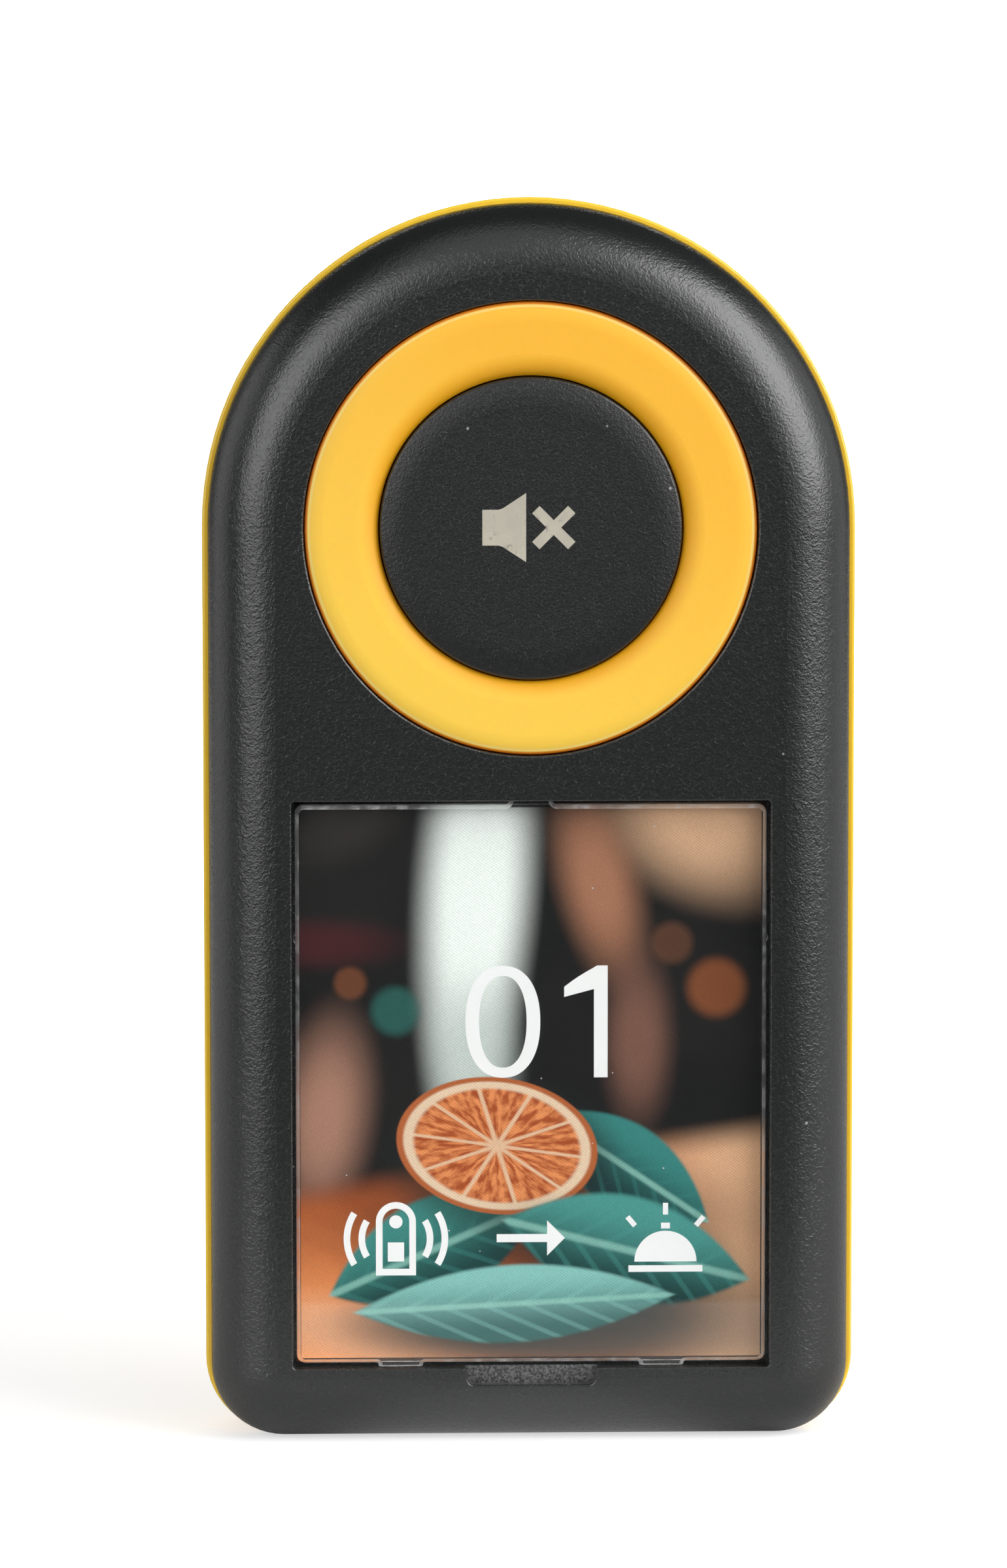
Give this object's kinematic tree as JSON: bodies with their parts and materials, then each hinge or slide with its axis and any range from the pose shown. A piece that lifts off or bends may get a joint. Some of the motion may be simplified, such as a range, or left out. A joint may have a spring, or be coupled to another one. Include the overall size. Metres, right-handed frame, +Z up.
{
  "type": "guest pager",
  "caption": "Hand-held guest pager that stands on its flat end: round-topped case, lit ring around a mute button, clear window over a swappable card.",
  "frame": {"origin": "middle of the footprint at the table, at half the case's thickness", "axes": "+Z up along the case, -Y out of the front face, +X to the right seen from the front"},
  "size_m": [0.058, 0.0196, 0.1105],
  "materials": {
    "black_shell": "fine leather-like moulded grain, satin",
    "yellow_shell": "glossy moulded",
    "ring_diffuser": "translucent satin",
    "white_plastic": "satin white",
    "black_button": "fine grain with a pale printed mark",
    "clear_cover": "clear polished plastic",
    "card": "printed card",
    "circuit_board": "green solder mask",
    "black_component": "moulded component",
    "white_component": "lamp body",
    "chip_part": "small chip parts",
    "steel": "zinc plated",
    "shield_tin": "tinned sheet",
    "gold_contact": "gold plated",
    "copper_track": "copper track",
    "nickel": "nickel strip",
    "tungsten": "sintered metal",
    "cell_foil": "laminated foil",
    "foam": "closed-cell foam",
    "tape": "double-sided tape",
    "grey_rubber": "soft moulded rubber"
  },
  "bodies": {
    "case": {"front_shell": "black_shell", "rear_shell": "yellow_shell", "case_screws": "steel", "light_ring": "ring_diffuser", "light_box": "white_plastic", "ring_leds": "white_component", "tact_switch": "black_component", "insert_card": "card", "main_pcb": "circuit_board", "pcb_screws": "steel", "logic_chip": "black_component", "passives": "chip_part", "radio_board": "circuit_board", "radio_shield": "shield_tin", "crystal": "shield_tin", "antenna_track": "copper_track", "battery_cell": "cell_foil", "battery_tape": "tape", "battery_foam": "foam", "battery_board": "circuit_board", "battery_tabs": "nickel", "motor_can": "steel", "motor_boot": "grey_rubber", "motor_contacts": "nickel", "buzzer": "black_component", "buzzer_gasket": "foam", "charge_contacts": "gold_contact", "contact_pins": "gold_contact"},
    "button": {"mute_button": "black_button", "switch_plunger": "white_plastic"},
    "cover": {"window_cover": "clear_cover"},
    "weight": {"motor_shaft": "steel", "eccentric_weight": "tungsten"}
  },
  "joints": [
    {"name": "button_press", "type": "slide", "parent": "case", "child": "button", "axis": [0, 1, 0], "range_m": [0, 0.0005], "stiffness_N_per_m": 4000},
    {"name": "cover_swing", "type": "hinge", "parent": "case", "child": "cover", "pos_m": [0, -0.0086, 0.05735], "axis": [-1, 0, 0], "range_deg": [0, 30]},
    {"name": "motor_spin", "type": "hinge", "parent": "case", "child": "weight", "pos_m": [0.003, 0.0033, 0.0935], "axis": [1, 0, 0], "continuous": true}
  ]
}
